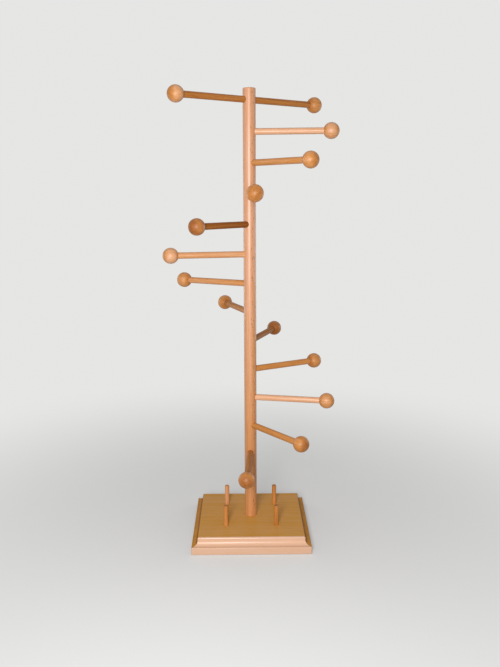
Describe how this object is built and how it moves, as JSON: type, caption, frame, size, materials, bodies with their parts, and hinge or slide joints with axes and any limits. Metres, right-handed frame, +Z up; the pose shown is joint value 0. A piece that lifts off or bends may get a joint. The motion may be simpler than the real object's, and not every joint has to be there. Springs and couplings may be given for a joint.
{
  "type": "jewellery stand",
  "caption": "Free-standing wooden jewellery tree: a round post on a moulded square base, with a falling spiral of ball-ended arms and short upright pegs on the base.",
  "frame": {"origin": "on the post's axis, on the underside of the base board (the middle of the board)", "axes": "+Z up the post, -Y to the front, +X to the right seen from the front"},
  "size_m": [0.2187, 0.215, 0.575],
  "materials": {
    "board_beech": "satin lacquer over steamed beech, grain left to right",
    "post_beech": "satin lacquer over steamed beech, grain up the post",
    "arm_beech": "satin lacquer over beech dowel, grain along the arm",
    "knob_beech": "satin lacquer over turned beech, grain in line with the arm",
    "peg_beech": "satin lacquer over beech dowel, grain upright",
    "screw_steel": "bright zinc plate"
  },
  "bodies": {
    "root": {"base_board": "board_beech", "post": "post_beech", "top_crossbar": "arm_beech", "arm_01": "arm_beech", "arm_02": "arm_beech", "arm_03": "arm_beech", "arm_04": "arm_beech", "arm_05": "arm_beech", "arm_06": "arm_beech", "arm_07": "arm_beech", "arm_08": "arm_beech", "arm_09": "arm_beech", "arm_10": "arm_beech", "arm_11": "arm_beech", "arm_12": "arm_beech", "knob_01": "knob_beech", "knob_02": "knob_beech", "knob_03": "knob_beech", "knob_04": "knob_beech", "knob_05": "knob_beech", "knob_06": "knob_beech", "knob_07": "knob_beech", "knob_08": "knob_beech", "knob_09": "knob_beech", "knob_10": "knob_beech", "knob_11": "knob_beech", "knob_12": "knob_beech", "knob_top_left": "knob_beech", "knob_top_right": "knob_beech", "base_peg_front_left": "peg_beech", "base_peg_back_left": "peg_beech", "base_peg_front_right": "peg_beech", "base_peg_back_right": "peg_beech", "post_screw": "screw_steel"}
  },
  "joints": []
}
